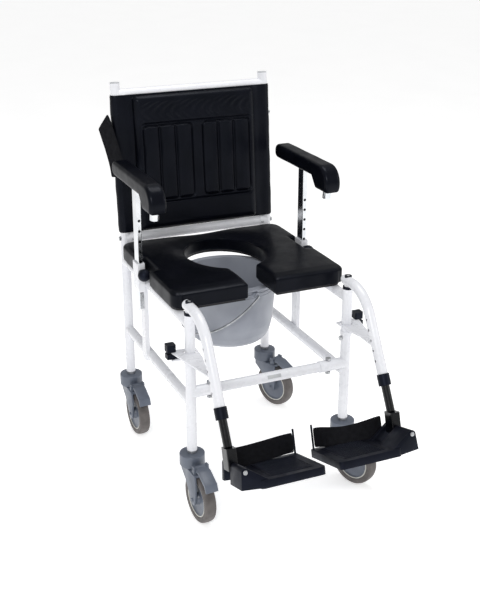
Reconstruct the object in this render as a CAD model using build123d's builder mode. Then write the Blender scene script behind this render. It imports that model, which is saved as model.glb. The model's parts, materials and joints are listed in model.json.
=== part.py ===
"""A wheeled commode chair: tube frame, open-fronted seat, bucket, sliding arms and swing-away footrests.

Millimetres. +Z is up, the chair faces -Y, and the origin is on the floor under the middle of the chair.
Every sided piece is made for the left (-X) side and mirrored for the right.
"""
import os
from math import cos, radians, sin, tan

from build123d import *

# ---- driving dimensions ----
TUBE = 25.4                 # frame tube, outside diameter
WALL = 1.6                  # frame tube wall
RUN_FIT = 0.05              # radial clearance of a running fit
LEG_X = 208.0               # half the spacing of the legs
MID_Y = 128.0               # midway between the front and rear legs
FRONT_Y = MID_Y - 239.0     # front leg axis
REAR_Y = MID_Y + 239.0      # rear leg axis
LEG_BOTTOM = 174.0
LEG_TOP = 528.0             # front leg, under the footrest's pivot bush
HEIGHT = 977.0              # top of the back posts
BACK_Z = 568.0              # height where the back posts start to lean
LEAN = 4.9                  # lean of the back posts, degrees
BACK_RAIL_Z = 567.0
UPPER_RAIL_Z = 504.0
LOWER_RAIL_Z = 303.0
CROSSBAR_Z = 328.0
BACK_RAIL_UP = 380.0        # top rail's distance up the posts from BACK_Z

SEAT_TOP = 566.0
SEAT_UNDER = UPPER_RAIL_Z + TUBE / 2
SEAT_FRONT = MID_Y - 190.0
SEAT_BACK = MID_Y + 216.0
SEAT_HALF = 229.0
HOLE_HALF = 102.0
MOUTH_HALF = 36.0
NOTCH_FRONT = MID_Y - 13.0
NOTCH_BACK = MID_Y + 84.0
NOTCH_DEPTH = 23.0

BUCKET_Y = MID_Y + 20.0
BUCKET_TOP = 511.0
BUCKET_FLOOR = 338.0
RIM_RADIUS = 140.0
BAIL_HALF = 146.0
BAIL_DROP = 172.0
BAIL_HANG = 43.0            # degrees below level
BAIL_TURN = 9.0             # turn of the bail's ears about the bucket's axis, degrees
EAR_Z = 493.0

ARM_X = 230.0
ARM_Y = MID_Y + 59.0
POST_X = 12.0               # arm post section
POST_Y = 30.0
POST_BOTTOM = 432.0
PAD_UNDER = 760.0
PAD_TOP = 797.0
PAD_WIDE = 43.0
PAD_NOSE_Z = 732.0          # underside of the pad's turned-down front
PAD_REAR = MID_Y + 190.0
PAD_FRONT = MID_Y - 114.0
ARM_TUBE = 22.0
SOCKET_WALL = 3.7
SLIDE_GAP = 0.3
KNOB_Z = 539.0
KNOB_BALL = 32.0
HOLE_PITCH = 27.0

HANGER_Z = 548.0
HANGER_BEND = 100.0         # bend radius of the footrest tube
HANGER_CORNER = 81.0        # from the pivot forward to the corner of the bend
HANGER_ANGLE = 30.0         # of the lower run, from vertical
HANGER_LOW_Z = 362.0
PIVOT_PIN = 10.0            # radius
STEM = 10.0                 # radius
STEM_END_Z = 307.0
BOLT_PITCH = 25.0
BRACKET_Z = 431.0
BRACKET_THICK = 4.0
KEEPER_Z = 412.0

LATCH_X = -243.0            # latch lever pivot, left side
LATCH_Y = FRONT_Y + 17.0

FOOT_TILT = 17.0            # toe-up tilt of the footplates, degrees
HINGE_Y = MID_Y - 480.0
HINGE_Z = 262.0
SOLE_DROP = 25.4            # platform top below the hinge axis
SOLE_THICK = 18.0
SOLE_FRONT = 86.0
SOLE_REAR = 70.0
SOLE_INNER = 190.0          # hinge axis to the inner edge
SOLE_OUTER = 48.0           # hinge axis to the foot of the wedge
HINGE_PIN = 4.0             # radius
STRAP_ROD_X = 184.0         # heel strap's rod, from the hinge
STRAP_ROD_Y = 60.0
STRAP_WIDE = 50.0
STRAP_THICK = 2.4

WHEEL = 62.5                # radius
TRAIL = 45.0
TYRE_INNER = 47.0
TYRE_HALF = 15.0
RING = 31.0                 # castor bearing ring, radius
RING_LOW = 134.0
RING_HIGH = 166.0
STEM_BOLT = 8.0             # castor bolt radius
PEDAL_Y = -46.0
PEDAL_Z = 147.0

CASTORS = {                 # leg x, leg y, turn of the castor from straight ahead in degrees
    "front_left": (-LEG_X, FRONT_Y, 4.0),
    "front_right": (LEG_X, FRONT_Y, 23.0),
    "rear_left": (-LEG_X, REAR_Y, 2.0),
    "rear_right": (LEG_X, REAR_Y, 22.0),
}

os.makedirs("parts", exist_ok=True)


# ---- helpers ----
def save(name, part):
    part.label = name
    export_step(part, f"parts/{name}.step")


def save_pair(name, left):
    """Write the left piece, and its mirror image for the right side."""
    save(f"{name}_left", left)
    with BuildPart() as right:
        mirror(left, about=Plane.YZ)
    save(f"{name}_right", right.part)


def rod(start, end, radius, bore=0.0, mode=Mode.ADD):
    """A straight round bar or tube between two points, in the part being built."""
    run = Vector(*end) - Vector(*start)
    with BuildSketch(Plane(origin=start, z_dir=run)) as section:
        Circle(radius)
        if bore:
            Circle(bore, mode=Mode.SUBTRACT)
    extrude(section.sketch, amount=run.length, mode=mode)


def block(low, high, mode=Mode.ADD):
    """A box between two opposite corners, in the part being built."""
    size = [b - a for a, b in zip(low, high)]
    with Locations(tuple((a + b) / 2 for a, b in zip(low, high))):
        Box(*size, mode=mode)


def tube(start, end):
    rod(start, end, TUBE / 2, TUBE / 2 - WALL)


def hex_head(centre, direction, across=13.0, high=6.0):
    with BuildSketch(Plane(origin=centre, z_dir=direction)) as section:
        RegularPolygon(across / 2, 6, major_radius=False)
    extrude(section.sketch, amount=high)


def on_back(right, up, out=0.0):
    """A point measured from the foot of the leaning back: right, up along the posts, out to the front."""
    lean = radians(LEAN)
    return (right, REAR_Y + up * sin(lean) - out * cos(lean), BACK_Z + up * cos(lean) + out * sin(lean))


up_the_back = (0, sin(radians(LEAN)), cos(radians(LEAN)))
back_plane = Plane(origin=(0, REAR_Y, BACK_Z), x_dir=(1, 0, 0), z_dir=(0, -up_the_back[2], up_the_back[1]))
post_top = (HEIGHT - 3.0 - BACK_Z) / cos(radians(LEAN))
down_the_hanger = (0, -sin(radians(HANGER_ANGLE)), -cos(radians(HANGER_ANGLE)))
sole_plane = Plane(
    origin=(-LEG_X, HINGE_Y, HINGE_Z),
    x_dir=(1, 0, 0),
    z_dir=(0, sin(radians(FOOT_TILT)), cos(radians(FOOT_TILT))),
)


def on_hanger(z):
    """A point on the axis of the left footrest's sloping run, at height z."""
    return (-LEG_X, FRONT_Y - HANGER_CORNER - (HANGER_Z - z) * tan(radians(HANGER_ANGLE)), z)


# ---- frame: legs, posts and rails ----
with BuildPart() as front_leg:
    tube((-LEG_X, FRONT_Y, LEG_BOTTOM), (-LEG_X, FRONT_Y, LEG_TOP))
save_pair("front_leg", front_leg.part)

with BuildPart() as rear_post:
    with BuildLine():
        path = FilletPolyline(
            (-LEG_X, REAR_Y, LEG_BOTTOM), (-LEG_X, REAR_Y, BACK_Z), on_back(-LEG_X, post_top), radius=200
        )
    with BuildSketch(Plane(origin=(-LEG_X, REAR_Y, LEG_BOTTOM), z_dir=(0, 0, 1))):
        Circle(TUBE / 2)
        Circle(TUBE / 2 - WALL, mode=Mode.SUBTRACT)
    sweep(path=path)
save_pair("rear_post", rear_post.part)

CAP_LIP = 3.0
CAP_DEPTH = 14.0
with BuildPart() as post_caps:
    top = on_back(-LEG_X, post_top)
    rod(top, on_back(-LEG_X, post_top + CAP_LIP), TUBE / 2)
    fillet(post_caps.edges().sort_by(Axis.Z)[-1], 2.0)
    rod(on_back(-LEG_X, post_top - CAP_DEPTH), top, TUBE / 2 - WALL)
    mirror(about=Plane.YZ)
save("post_caps", post_caps.part)

with BuildPart() as upper_side_rails:
    tube((-LEG_X, FRONT_Y, UPPER_RAIL_Z), (-LEG_X, REAR_Y, UPPER_RAIL_Z))
    for y in (FRONT_Y, REAR_Y):
        rod((-LEG_X, y, LEG_BOTTOM), (-LEG_X, y, LEG_TOP), TUBE / 2, mode=Mode.SUBTRACT)
    mirror(about=Plane.YZ)
save("upper_side_rails", upper_side_rails.part)

with BuildPart() as lower_side_rails:
    tube((-LEG_X, FRONT_Y, LOWER_RAIL_Z), (-LEG_X, REAR_Y, LOWER_RAIL_Z))
    for y in (FRONT_Y, REAR_Y):
        rod((-LEG_X, y, LEG_BOTTOM), (-LEG_X, y, LEG_TOP), TUBE / 2, mode=Mode.SUBTRACT)
    mirror(about=Plane.YZ)
save("lower_side_rails", lower_side_rails.part)

SLEEVE = TUBE / 2 + 2.0
CROSS_SLEEVE = 74.0         # from the leg axis to the sleeve's inner end
with BuildPart() as front_crossbar:
    tube((-LEG_X + 20, FRONT_Y, CROSSBAR_Z), (LEG_X - 20, FRONT_Y, CROSSBAR_Z))
    with Locations(*[(side * (LEG_X - 48), FRONT_Y, CROSSBAR_Z) for side in (-1, 1)]):
        Cylinder(3.2, 60, mode=Mode.SUBTRACT)
save("front_crossbar", front_crossbar.part)

with BuildPart() as crossbar_sleeves:
    rod(
        (-LEG_X, FRONT_Y, CROSSBAR_Z), (-LEG_X + CROSS_SLEEVE, FRONT_Y, CROSSBAR_Z), SLEEVE, TUBE / 2
    )
    rod((-LEG_X, FRONT_Y, LEG_BOTTOM), (-LEG_X, FRONT_Y, LEG_TOP), TUBE / 2, mode=Mode.SUBTRACT)
    with Locations((-LEG_X + 48, FRONT_Y, CROSSBAR_Z)):
        Cylinder(3.2, 60, mode=Mode.SUBTRACT)
    mirror(about=Plane.YZ)
save("crossbar_sleeves", crossbar_sleeves.part)

with BuildPart() as seat_crossbars:
    block((-LEG_X, SEAT_BACK - 24, SEAT_UNDER - 3), (0, SEAT_BACK - 4, SEAT_UNDER))
    block((-LEG_X, SEAT_FRONT + 14, SEAT_UNDER - 3), (-MOUTH_HALF - 20, SEAT_FRONT + 34, SEAT_UNDER))
    rod((-LEG_X, FRONT_Y, UPPER_RAIL_Z), (-LEG_X, REAR_Y, UPPER_RAIL_Z), TUBE / 2, mode=Mode.SUBTRACT)
    mirror(about=Plane.YZ)
save("seat_crossbars", seat_crossbars.part)

with BuildPart() as back_lower_rail:
    tube((-LEG_X, REAR_Y, BACK_RAIL_Z), (LEG_X, REAR_Y, BACK_RAIL_Z))
    for side in (-1, 1):
        collar_start = side * (LEG_X - 22)
        rod(
            (collar_start, REAR_Y, BACK_RAIL_Z), (side * LEG_X, REAR_Y, BACK_RAIL_Z), SLEEVE, TUBE / 2
        )
        rod((side * LEG_X, REAR_Y, 400), (side * LEG_X, REAR_Y, 580), TUBE / 2 + 0.2, mode=Mode.SUBTRACT)
        rod(on_back(side * LEG_X, -5), on_back(side * LEG_X, 40), TUBE / 2 + 0.2, mode=Mode.SUBTRACT)
save("back_lower_rail", back_lower_rail.part)

with BuildPart() as back_top_rail:
    tube(on_back(-LEG_X, BACK_RAIL_UP), on_back(LEG_X, BACK_RAIL_UP))
    for side in (-1, 1):
        rod(
            on_back(side * LEG_X, BACK_RAIL_UP - 40), on_back(side * LEG_X, BACK_RAIL_UP + 25), TUBE / 2,
            mode=Mode.SUBTRACT,
        )
save("back_top_rail", back_top_rail.part)

with BuildPart() as arm_struts:
    block((-223.5, ARM_Y - 13, LOWER_RAIL_Z - 14), (-212.5, ARM_Y + 15, UPPER_RAIL_Z - 3))
    for z in (LOWER_RAIL_Z, UPPER_RAIL_Z):
        rod((-LEG_X, FRONT_Y, z), (-LEG_X, REAR_Y, z), TUBE / 2, mode=Mode.SUBTRACT)
    block((-240, ARM_Y - 30, UPPER_RAIL_Z - 18), (-219, ARM_Y + 30, UPPER_RAIL_Z), mode=Mode.SUBTRACT)
    mirror(about=Plane.YZ)
save("arm_struts", arm_struts.part)

SOCKET_LOW = 486.0
SOCKET_HIGH = 562.0
with BuildPart() as arm_sockets:
    half_x = POST_X / 2 + SLIDE_GAP + SOCKET_WALL
    half_y = POST_Y / 2 + SLIDE_GAP + SOCKET_WALL + 1
    with BuildSketch(Plane.XZ.offset(-ARM_Y - half_y)):
        with BuildLine():
            Polyline(
                (-ARM_X - half_x, SOCKET_HIGH), (-ARM_X - half_x, SOCKET_LOW + 14),
                (-ARM_X - half_x + 4, SOCKET_LOW),
                (-ARM_X + half_x, SOCKET_LOW), (-ARM_X + half_x, SOCKET_HIGH), close=True,
            )
        make_face()
    extrude(amount=2 * half_y)
    fillet(arm_sockets.edges().filter_by(Axis.Z), 2.5)
    block(
        (-ARM_X - POST_X / 2 - SLIDE_GAP, ARM_Y - POST_Y / 2 - SLIDE_GAP, 400),
        (-ARM_X + POST_X / 2 + SLIDE_GAP, ARM_Y + POST_Y / 2 + SLIDE_GAP, 700), mode=Mode.SUBTRACT,
    )
    rod((-ARM_X, ARM_Y - 40, KNOB_Z), (-ARM_X, ARM_Y, KNOB_Z), 4 + RUN_FIT, mode=Mode.SUBTRACT)
    rod((-LEG_X, FRONT_Y, UPPER_RAIL_Z), (-LEG_X, REAR_Y, UPPER_RAIL_Z), TUBE / 2, mode=Mode.SUBTRACT)
    mirror(about=Plane.YZ)
save("arm_sockets", arm_sockets.part)

with BuildPart() as pan_runners:
    block((-148, BUCKET_Y - 150, 503), (-129, SEAT_BACK + 4, 505.5))
    block((-150, BUCKET_Y - 150, 503), (-147.5, SEAT_BACK + 4, SEAT_UNDER - 3))
    block((-150, BUCKET_Y - 150, 503), (-118, BUCKET_Y - 146, SEAT_UNDER - 3))
    mirror(about=Plane.YZ)
save("pan_runners", pan_runners.part)

BUSH_LIP = 7.0
with BuildPart() as leg_bushes:
    rod((-LEG_X, FRONT_Y, LEG_TOP), (-LEG_X, FRONT_Y, LEG_TOP + BUSH_LIP), TUBE / 2, PIVOT_PIN + RUN_FIT)
    rod(
        (-LEG_X, FRONT_Y, LEG_TOP - 45), (-LEG_X, FRONT_Y, LEG_TOP), TUBE / 2 - WALL, PIVOT_PIN + RUN_FIT
    )
    mirror(about=Plane.YZ)
save("leg_bushes", leg_bushes.part)

with BuildPart() as latch_keepers:
    block((-250, FRONT_Y + 8, KEEPER_Z), (-LEG_X, FRONT_Y + 26, KEEPER_Z + 4))
    rod((-LEG_X, FRONT_Y, KEEPER_Z - 6), (-LEG_X, FRONT_Y, KEEPER_Z + 4), SLEEVE)
    rod((-LEG_X, FRONT_Y, 380), (-LEG_X, FRONT_Y, 470), TUBE / 2, mode=Mode.SUBTRACT)
    mirror(about=Plane.YZ)
save("latch_keepers", latch_keepers.part)

with BuildPart() as castor_stems:
    with Locations(*[(x, y, 0) for x, y, _ in CASTORS.values()]):
        with Locations((0, 0, RING_HIGH - 20)):
            Cylinder(STEM_BOLT, 21, align=(Align.CENTER, Align.CENTER, Align.MIN))
        with Locations((0, 0, RING_HIGH + 0.3)):
            Cylinder(11, LEG_BOTTOM - RING_HIGH - 0.3, align=(Align.CENTER, Align.CENTER, Align.MIN))
        with Locations((0, 0, LEG_BOTTOM)):
            Cylinder(TUBE / 2 - WALL, 45, align=(Align.CENTER, Align.CENTER, Align.MIN))
save("castor_stems", castor_stems.part)

with BuildPart() as frame_bolts:
    bolt_x = -LEG_X + 48
    rod((bolt_x, FRONT_Y, CROSSBAR_Z - SLEEVE - 0.6), (bolt_x, FRONT_Y, CROSSBAR_Z + SLEEVE + 0.6), 3.2)
    hex_head((bolt_x, FRONT_Y, CROSSBAR_Z + SLEEVE + 0.5), (0, 0, 1))
    hex_head((bolt_x, FRONT_Y, CROSSBAR_Z - SLEEVE - 0.5), (0, 0, -1))
    hex_head((-LEG_X - TUBE / 2 - 0.1, REAR_Y, BACK_RAIL_Z), (-1, 0, 0), across=11.0, high=4.0)
    hex_head((-LEG_X + TUBE / 2 + 0.1, FRONT_Y, 398), (1, 0, 0), across=11.0, high=5.0)
    rod(on_back(-LEG_X - 13, 300), on_back(-LEG_X - 18.5, 300), 5.0)
    mirror(about=Plane.YZ)
save("frame_bolts", frame_bolts.part)

# ---- backrest and straps ----
SLEEVE_OUT = 16.5
COVER_LOW = 16.0
COVER_HIGH = 378.0
with BuildPart() as backrest_cover:
    for side in (-1, 1):
        rod(on_back(side * LEG_X, COVER_LOW), on_back(side * LEG_X, COVER_HIGH), SLEEVE_OUT)
    with BuildSketch(back_plane.offset(13.5)):
        with Locations((0, (COVER_LOW + COVER_HIGH) / 2)):
            Rectangle(2 * LEG_X, COVER_HIGH - COVER_LOW)
    extrude(amount=6)
    for side in (-1, 1):
        rod(on_back(side * LEG_X, 0), on_back(side * LEG_X, 400), TUBE / 2 + 0.2, mode=Mode.SUBTRACT)
    rod(on_back(-LEG_X, BACK_RAIL_UP), on_back(LEG_X, BACK_RAIL_UP), TUBE / 2 + 0.3, mode=Mode.SUBTRACT)
    rod(on_back(-LEG_X - 30, 300), on_back(-LEG_X, 300), 5.2, mode=Mode.SUBTRACT)
    rod(on_back(LEG_X + 30, 300), on_back(LEG_X, 300), 5.2, mode=Mode.SUBTRACT)
save("backrest_cover", backrest_cover.part)

with BuildPart() as backrest_pad:
    with BuildSketch(back_plane.offset(19.5)):
        with Locations((0, (COVER_LOW + COVER_HIGH) / 2)):
            RectangleRounded(340, COVER_HIGH - COVER_LOW - 6, 14)
    extrude(amount=17)
    fillet(backrest_pad.faces().sort_by(Axis.Y)[0].edges(), 7)
save("backrest_pad", backrest_pad.part)

strap_plane = Plane(origin=on_back(-LEG_X - 24, 300), x_dir=(-0.5, 0.86, -0.1), z_dir=(-0.86, -0.5, 0.1))
with BuildPart() as lap_strap:
    with BuildSketch(strap_plane):
        with BuildLine():
            Polyline(
                (-14, -18), (0, -34), (42, 1), (19, 39), (-6, 97), (-14, 140), (-38, 132), (-32, 60), close=True,
            )
        make_face()
    extrude(amount=STRAP_THICK)
save("lap_strap", lap_strap.part)

# ---- seat and bucket ----
SEAT_PLATE = 4.3
HOLE_MID = MID_Y + 47.0
HOLE_HALF_LONG = 125.0


def seat_outline(inset):
    """The horseshoe seat's plan, shrunk by inset all round, in the sketch being built."""
    middle = (SEAT_FRONT + SEAT_BACK) / 2
    with Locations((0, middle)):
        RectangleRounded(2 * (SEAT_HALF - inset), SEAT_BACK - SEAT_FRONT - 2 * inset, 26)
    with Locations((0, HOLE_MID)):
        Ellipse(HOLE_HALF + inset, HOLE_HALF_LONG + inset, mode=Mode.SUBTRACT)
    with Locations((0, SEAT_FRONT)):
        Rectangle(2 * (MOUTH_HALF + inset), 2 * (HOLE_MID - SEAT_FRONT - 100), mode=Mode.SUBTRACT)
    with Locations(*[(side * SEAT_HALF, (NOTCH_FRONT + NOTCH_BACK) / 2) for side in (-1, 1)]):
        Rectangle(2 * (NOTCH_DEPTH + inset), NOTCH_BACK - NOTCH_FRONT + 2 * inset, mode=Mode.SUBTRACT)


with BuildPart() as seat_pad:
    with BuildSketch(Plane.XY.offset(SEAT_UNDER + SEAT_PLATE)):
        seat_outline(0)
    extrude(amount=SEAT_TOP - SEAT_UNDER - SEAT_PLATE)
    fillet(seat_pad.faces().sort_by(Axis.Z)[-1].edges(), 9)
save("seat_pad", seat_pad.part)

with BuildPart() as seat_base:
    with BuildSketch(Plane.XY.offset(SEAT_UNDER)):
        seat_outline(6)
    extrude(amount=SEAT_PLATE)
save("seat_base", seat_base.part)

BUCKET_WALL = 2.5
with BuildPart() as bucket:
    with BuildSketch(Plane.XZ.offset(-BUCKET_Y)):
        with BuildLine():
            Polyline(
                (0, BUCKET_FLOOR), (78, BUCKET_FLOOR), (93, BUCKET_FLOOR + 4), (103, BUCKET_FLOOR + 14),
                (109, BUCKET_FLOOR + 29), (114, 390), (120, 457), (124, BUCKET_TOP - 4),
                (RIM_RADIUS, BUCKET_TOP - 4), (RIM_RADIUS, BUCKET_TOP), (121.5, BUCKET_TOP),
                (120 - BUCKET_WALL, 457), (114 - BUCKET_WALL, 390), (109 - BUCKET_WALL, BUCKET_FLOOR + 30),
                (101, BUCKET_FLOOR + 16.5), (92, BUCKET_FLOOR + 7.5), (77, BUCKET_FLOOR + 4),
                (0, BUCKET_FLOOR + 4), close=True,
            )
        make_face()
    revolve(axis=Axis((0, BUCKET_Y, 0), (0, 0, 1)))
    for side in (-1, 1):
        ear = Plane((0, BUCKET_Y, EAR_Z)).rotated((0, 0, BAIL_TURN))
        centre = ear.from_local_coords((0, side * 120, 0))
        tip = ear.from_local_coords((0, side * 138, 0))
        rod(centre, tip, 8)
        rod(centre, ear.from_local_coords((0, side * 150, 0)), 2.0 + RUN_FIT, mode=Mode.SUBTRACT)
save("bucket", bucket.part)

BAIL_WIRE = 2.0
ear_line = Plane((0, BUCKET_Y, EAR_Z)).rotated((0, 0, BAIL_TURN))
bail_out = cos(radians(BAIL_HANG))
bail_down = sin(radians(BAIL_HANG))
bail_plane = Plane(
    origin=(0, BUCKET_Y, EAR_Z),
    x_dir=ear_line.from_local_coords((-bail_out, 0, -bail_down)) - ear_line.origin,
    z_dir=ear_line.from_local_coords((-bail_down, 0, bail_out)) - ear_line.origin,
)
with BuildPart() as bucket_bail:
    with BuildSketch(bail_plane):
        Ellipse(BAIL_DROP, BAIL_HALF)
        Ellipse(BAIL_DROP - 2 * BAIL_WIRE, BAIL_HALF - 2 * BAIL_WIRE, mode=Mode.SUBTRACT)
        with Locations((-BAIL_DROP, 0)):
            Rectangle(2 * BAIL_DROP, 3 * BAIL_HALF, mode=Mode.SUBTRACT)
    extrude(amount=BAIL_WIRE, both=True)
    for side in (-1, 1):
        inner = bail_plane.from_local_coords((0, side * 126, 0))
        outer = bail_plane.from_local_coords((0, side * (BAIL_HALF - BAIL_WIRE), 0))
        rod(inner, outer, BAIL_WIRE)
save("bucket_bail", bucket_bail.part)

# ---- arms ----
ARM_TUBE_Z = PAD_UNDER + ARM_TUBE / 2 - 2
ARM_TUBE_REAR = ARM_Y + 105.0
NOSE_Y = PAD_FRONT + 39.0
NOSE_Z = 712.0
with BuildPart() as arm_post:
    block(
        (-ARM_X - POST_X / 2, ARM_Y - POST_Y / 2, POST_BOTTOM),
        (-ARM_X + POST_X / 2, ARM_Y + POST_Y / 2, ARM_TUBE_Z),
    )
    chamfer(arm_post.edges().group_by(Axis.Z)[0].filter_by(Axis.X).sort_by(Axis.Y)[0], 8)
    fillet(arm_post.edges().filter_by(Axis.Z), 1.5)
    with BuildSketch(Plane.XY.offset(POST_BOTTOM)):
        with Locations((-ARM_X, ARM_Y)):
            Rectangle(POST_X - 3, POST_Y - 3)
    extrude(amount=ARM_TUBE_Z - POST_BOTTOM - 20, mode=Mode.SUBTRACT)
    for step in range(8):
        hole_z = KNOB_Z + HOLE_PITCH * (step - 2)
        rod((-ARM_X, ARM_Y - 20, hole_z), (-ARM_X, ARM_Y, hole_z), 3.6, mode=Mode.SUBTRACT)
    with BuildLine():
        grip = FilletPolyline(
            (-ARM_X, ARM_TUBE_REAR, ARM_TUBE_Z), (-ARM_X, NOSE_Y - 6, ARM_TUBE_Z), (-ARM_X, NOSE_Y, NOSE_Z),
            radius=30,
        )
    with BuildSketch(Plane(origin=(-ARM_X, ARM_TUBE_REAR, ARM_TUBE_Z), z_dir=(0, -1, 0))):
        Circle(ARM_TUBE / 2)
    sweep(path=grip)
save_pair("arm_post", arm_post.part)

with BuildPart() as arm_pad:
    with BuildSketch(Plane.YZ.offset(-ARM_X - PAD_WIDE / 2)):
        with BuildLine():
            Polyline(
                (PAD_REAR, PAD_UNDER), (PAD_FRONT + 90, PAD_UNDER), (PAD_FRONT + 67, PAD_NOSE_Z),
                (PAD_FRONT + 10, PAD_NOSE_Z),
            )
            ThreePointArc((PAD_FRONT + 10, PAD_NOSE_Z), (PAD_FRONT + 8, PAD_NOSE_Z + 36), (PAD_FRONT + 46, PAD_TOP))
            Polyline((PAD_FRONT + 46, PAD_TOP), (PAD_REAR, PAD_TOP), (PAD_REAR, PAD_UNDER))
        make_face()
    extrude(amount=PAD_WIDE)
    fillet(arm_pad.edges().filter_by(Axis.X).sort_by(Axis.Y)[-2:], 15)
    fillet(arm_pad.faces().filter_by(Axis.X).edges(), 9)
    add(arm_post.part, mode=Mode.SUBTRACT)
save_pair("arm_pad", arm_pad.part)

with BuildPart() as arm_knob:
    knob_back = ARM_Y - POST_Y / 2 - SLIDE_GAP - SOCKET_WALL - 1 - 0.5
    rod((-ARM_X, knob_back, KNOB_Z), (-ARM_X, knob_back - 8, KNOB_Z), 9)
    with Locations((-ARM_X, knob_back - 4 - KNOB_BALL / 2, KNOB_Z)):
        Sphere(KNOB_BALL / 2)
    rod((-ARM_X, knob_back, KNOB_Z), (-ARM_X, ARM_Y - POST_Y / 2 - SLIDE_GAP, KNOB_Z), 4)
save_pair("arm_knob", arm_knob.part)

# ---- footrests ----
with BuildPart() as hanger:
    with BuildLine():
        route = FilletPolyline(
            (-LEG_X, FRONT_Y + 12, HANGER_Z), (-LEG_X, FRONT_Y - HANGER_CORNER, HANGER_Z),
            on_hanger(HANGER_LOW_Z),
            radius=HANGER_BEND,
        )
    with BuildSketch(Plane(origin=(-LEG_X, FRONT_Y + 12, HANGER_Z), z_dir=(0, -1, 0))):
        Circle(TUBE / 2)
        Circle(STEM + 1.1, mode=Mode.SUBTRACT)
    sweep(path=route)
    with Locations((-LEG_X, FRONT_Y + 12, HANGER_Z)):
        Sphere(TUBE / 2, mode=Mode.ADD)
    rod((-LEG_X, FRONT_Y, LEG_TOP - 44), (-LEG_X, FRONT_Y, HANGER_Z), PIVOT_PIN)
    for step in range(1, 6):
        hole = on_hanger(HANGER_LOW_Z + 20 + BOLT_PITCH * cos(radians(HANGER_ANGLE)) * step)
        rod((hole[0] - 20, hole[1], hole[2]), (hole[0] + 20, hole[1], hole[2]), 3.5, mode=Mode.SUBTRACT)
    with BuildSketch(Plane.XY.offset(BRACKET_Z)):
        meet = on_hanger(BRACKET_Z)[1]
        Polygon(
            (-LEG_X - 8, meet), (-250, FRONT_Y + 15), (-232, FRONT_Y + 22), (-188, FRONT_Y + 16),
            (-192, FRONT_Y - 40), (-202, FRONT_Y - 80), (-LEG_X + 8, meet), align=None,
        )
        with Locations((-LEG_X, FRONT_Y)):
            Circle(SLEEVE + 0.6, mode=Mode.SUBTRACT)
    extrude(amount=BRACKET_THICK)
    rod(on_hanger(HANGER_LOW_Z + 90), on_hanger(HANGER_LOW_Z - 5), STEM + 1.1, mode=Mode.SUBTRACT)
    rod((LATCH_X, LATCH_Y, KEEPER_Z), (LATCH_X, LATCH_Y, LEG_TOP - 60), 3 + RUN_FIT, mode=Mode.SUBTRACT)
save_pair("hanger", hanger.part)

COLLAR = 15.0               # radius of the plastic collar at the foot of the hanger
with BuildPart() as hanger_fittings:
    rod(on_hanger(HANGER_LOW_Z + 14), on_hanger(HANGER_LOW_Z - 10), COLLAR, STEM + RUN_FIT)
    rod(on_hanger(HANGER_LOW_Z + 60), on_hanger(HANGER_LOW_Z), TUBE / 2, mode=Mode.SUBTRACT)
    rod((-LEG_X, FRONT_Y, HANGER_Z), (-LEG_X, FRONT_Y, HANGER_Z + TUBE / 2 + 1.5), 9)
    rod((-LEG_X, FRONT_Y + 40, HANGER_Z), (-LEG_X, FRONT_Y - 40, HANGER_Z), TUBE / 2, mode=Mode.SUBTRACT)
save_pair("hanger_fittings", hanger_fittings.part)

with BuildPart() as latch_lever:
    block((LATCH_X - 18, LATCH_Y - 8, BRACKET_Z + BRACKET_THICK + 0.4), (LATCH_X + 4, LATCH_Y + 14, 453))
    fillet(latch_lever.edges().filter_by(Axis.Z), 3)
    rod((LATCH_X, LATCH_Y, KEEPER_Z + 6), (LATCH_X, LATCH_Y, BRACKET_Z + BRACKET_THICK + 2), 3)
    block((LATCH_X - 18, LATCH_Y - 8, KEEPER_Z + 6), (LATCH_X + 6, LATCH_Y + 10, BRACKET_Z - 0.5))
save_pair("latch_lever", latch_lever.part)

BLOCK_HALF = 17.0           # half-length of the footplate hinge block along the hinge
with BuildPart() as footrest_stem:
    rod(on_hanger(HANGER_LOW_Z + 80), on_hanger(STEM_END_Z - 8), STEM)
    with BuildSketch(sole_plane.offset(-10)):
        Rectangle(24, 2 * BLOCK_HALF)
    extrude(amount=50)
    fillet(footrest_stem.edges().filter_by(lambda edge: edge.length > 45 and edge.length < 55), 3)
    hinge_front = sole_plane.from_local_coords((0, -40, 0))
    hinge_back = sole_plane.from_local_coords((0, 40, 0))
    rod(hinge_front, hinge_back, HINGE_PIN + RUN_FIT, mode=Mode.SUBTRACT)
save_pair("footrest_stem", footrest_stem.part)

KNUCKLE = 9.0
with BuildPart() as footplate:
    with BuildSketch(sole_plane.offset(-SOLE_DROP - SOLE_THICK)):
        with Locations(((SOLE_OUTER + SOLE_INNER) / 2 - 8, (SOLE_REAR - SOLE_FRONT) / 2)):
            RectangleRounded(SOLE_INNER - SOLE_OUTER + 16, SOLE_REAR + SOLE_FRONT, 10)
    extrude(amount=SOLE_THICK)
    for low, high in ((-SOLE_FRONT + 4, -BLOCK_HALF - 1), (BLOCK_HALF + 2, BLOCK_HALF + 14)):
        lug_plane = Plane(
            origin=sole_plane.from_local_coords((0, high, 0)), x_dir=(1, 0, 0), z_dir=-sole_plane.y_dir
        )
        with BuildSketch(lug_plane):
            Circle(KNUCKLE)
            Polygon(
                (-KNUCKLE, 0), (-KNUCKLE - 4, -SOLE_DROP - SOLE_THICK + 6),
                (SOLE_OUTER, -SOLE_DROP - SOLE_THICK),
                (SOLE_OUTER + 4, -SOLE_DROP), (6, KNUCKLE - 2), align=None,
            )
        extrude(amount=high - low)
    rod(hinge_front, hinge_back, HINGE_PIN, mode=Mode.SUBTRACT)
    rod(sole_plane.from_local_coords((0, -36, 0)), sole_plane.from_local_coords((0, 31, 0)), HINGE_PIN)
    strap_rod_foot = sole_plane.from_local_coords((STRAP_ROD_X, STRAP_ROD_Y, -SOLE_DROP - 6))
    rod(strap_rod_foot, sole_plane.from_local_coords((STRAP_ROD_X, STRAP_ROD_Y, 34)), 2.5)
save_pair("footplate", footplate.part)

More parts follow.
